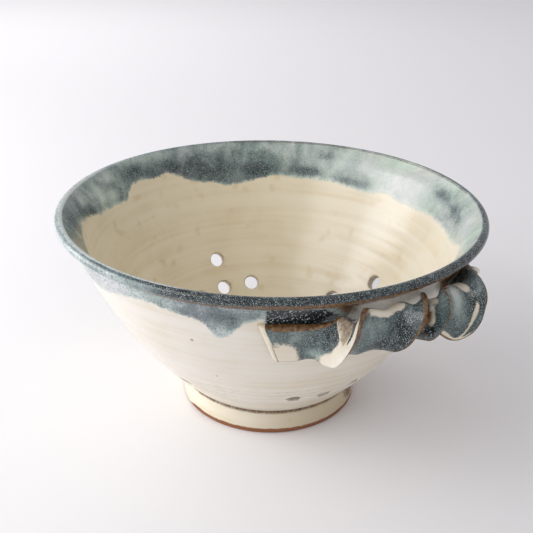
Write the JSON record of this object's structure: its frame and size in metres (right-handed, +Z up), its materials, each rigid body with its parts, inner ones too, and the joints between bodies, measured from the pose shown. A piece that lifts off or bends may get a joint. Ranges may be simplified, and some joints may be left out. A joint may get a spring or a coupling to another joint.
{
  "type": "colander",
  "caption": "Thrown stoneware colander: a flared bowl on a turned foot ring, pierced with drain holes, with a rolled rim and a twisted strap handle on either side.",
  "frame": {"origin": "on the bowl's axis, on the plane that the foot ring stands on", "axes": "+Z up along the bowl's axis, +X towards the middle of one handle, so that both handles lie along X"},
  "size_m": [0.2538, 0.23, 0.1178],
  "materials": {
    "bowl_glaze": "gloss cream glaze, dipped in slate blue along the top",
    "rim_glaze": "gloss dark teal glaze with pale specks",
    "foot_glaze": "gloss cream glaze with bare clay along the base",
    "handle_glaze": "gloss slate blue glaze, brown where it breaks over edges"
  },
  "bodies": {
    "root": {"bowl": "bowl_glaze", "rim_bead": "rim_glaze", "foot_ring": "foot_glaze", "handle_front": "handle_glaze", "handle_rear": "handle_glaze"}
  },
  "joints": []
}
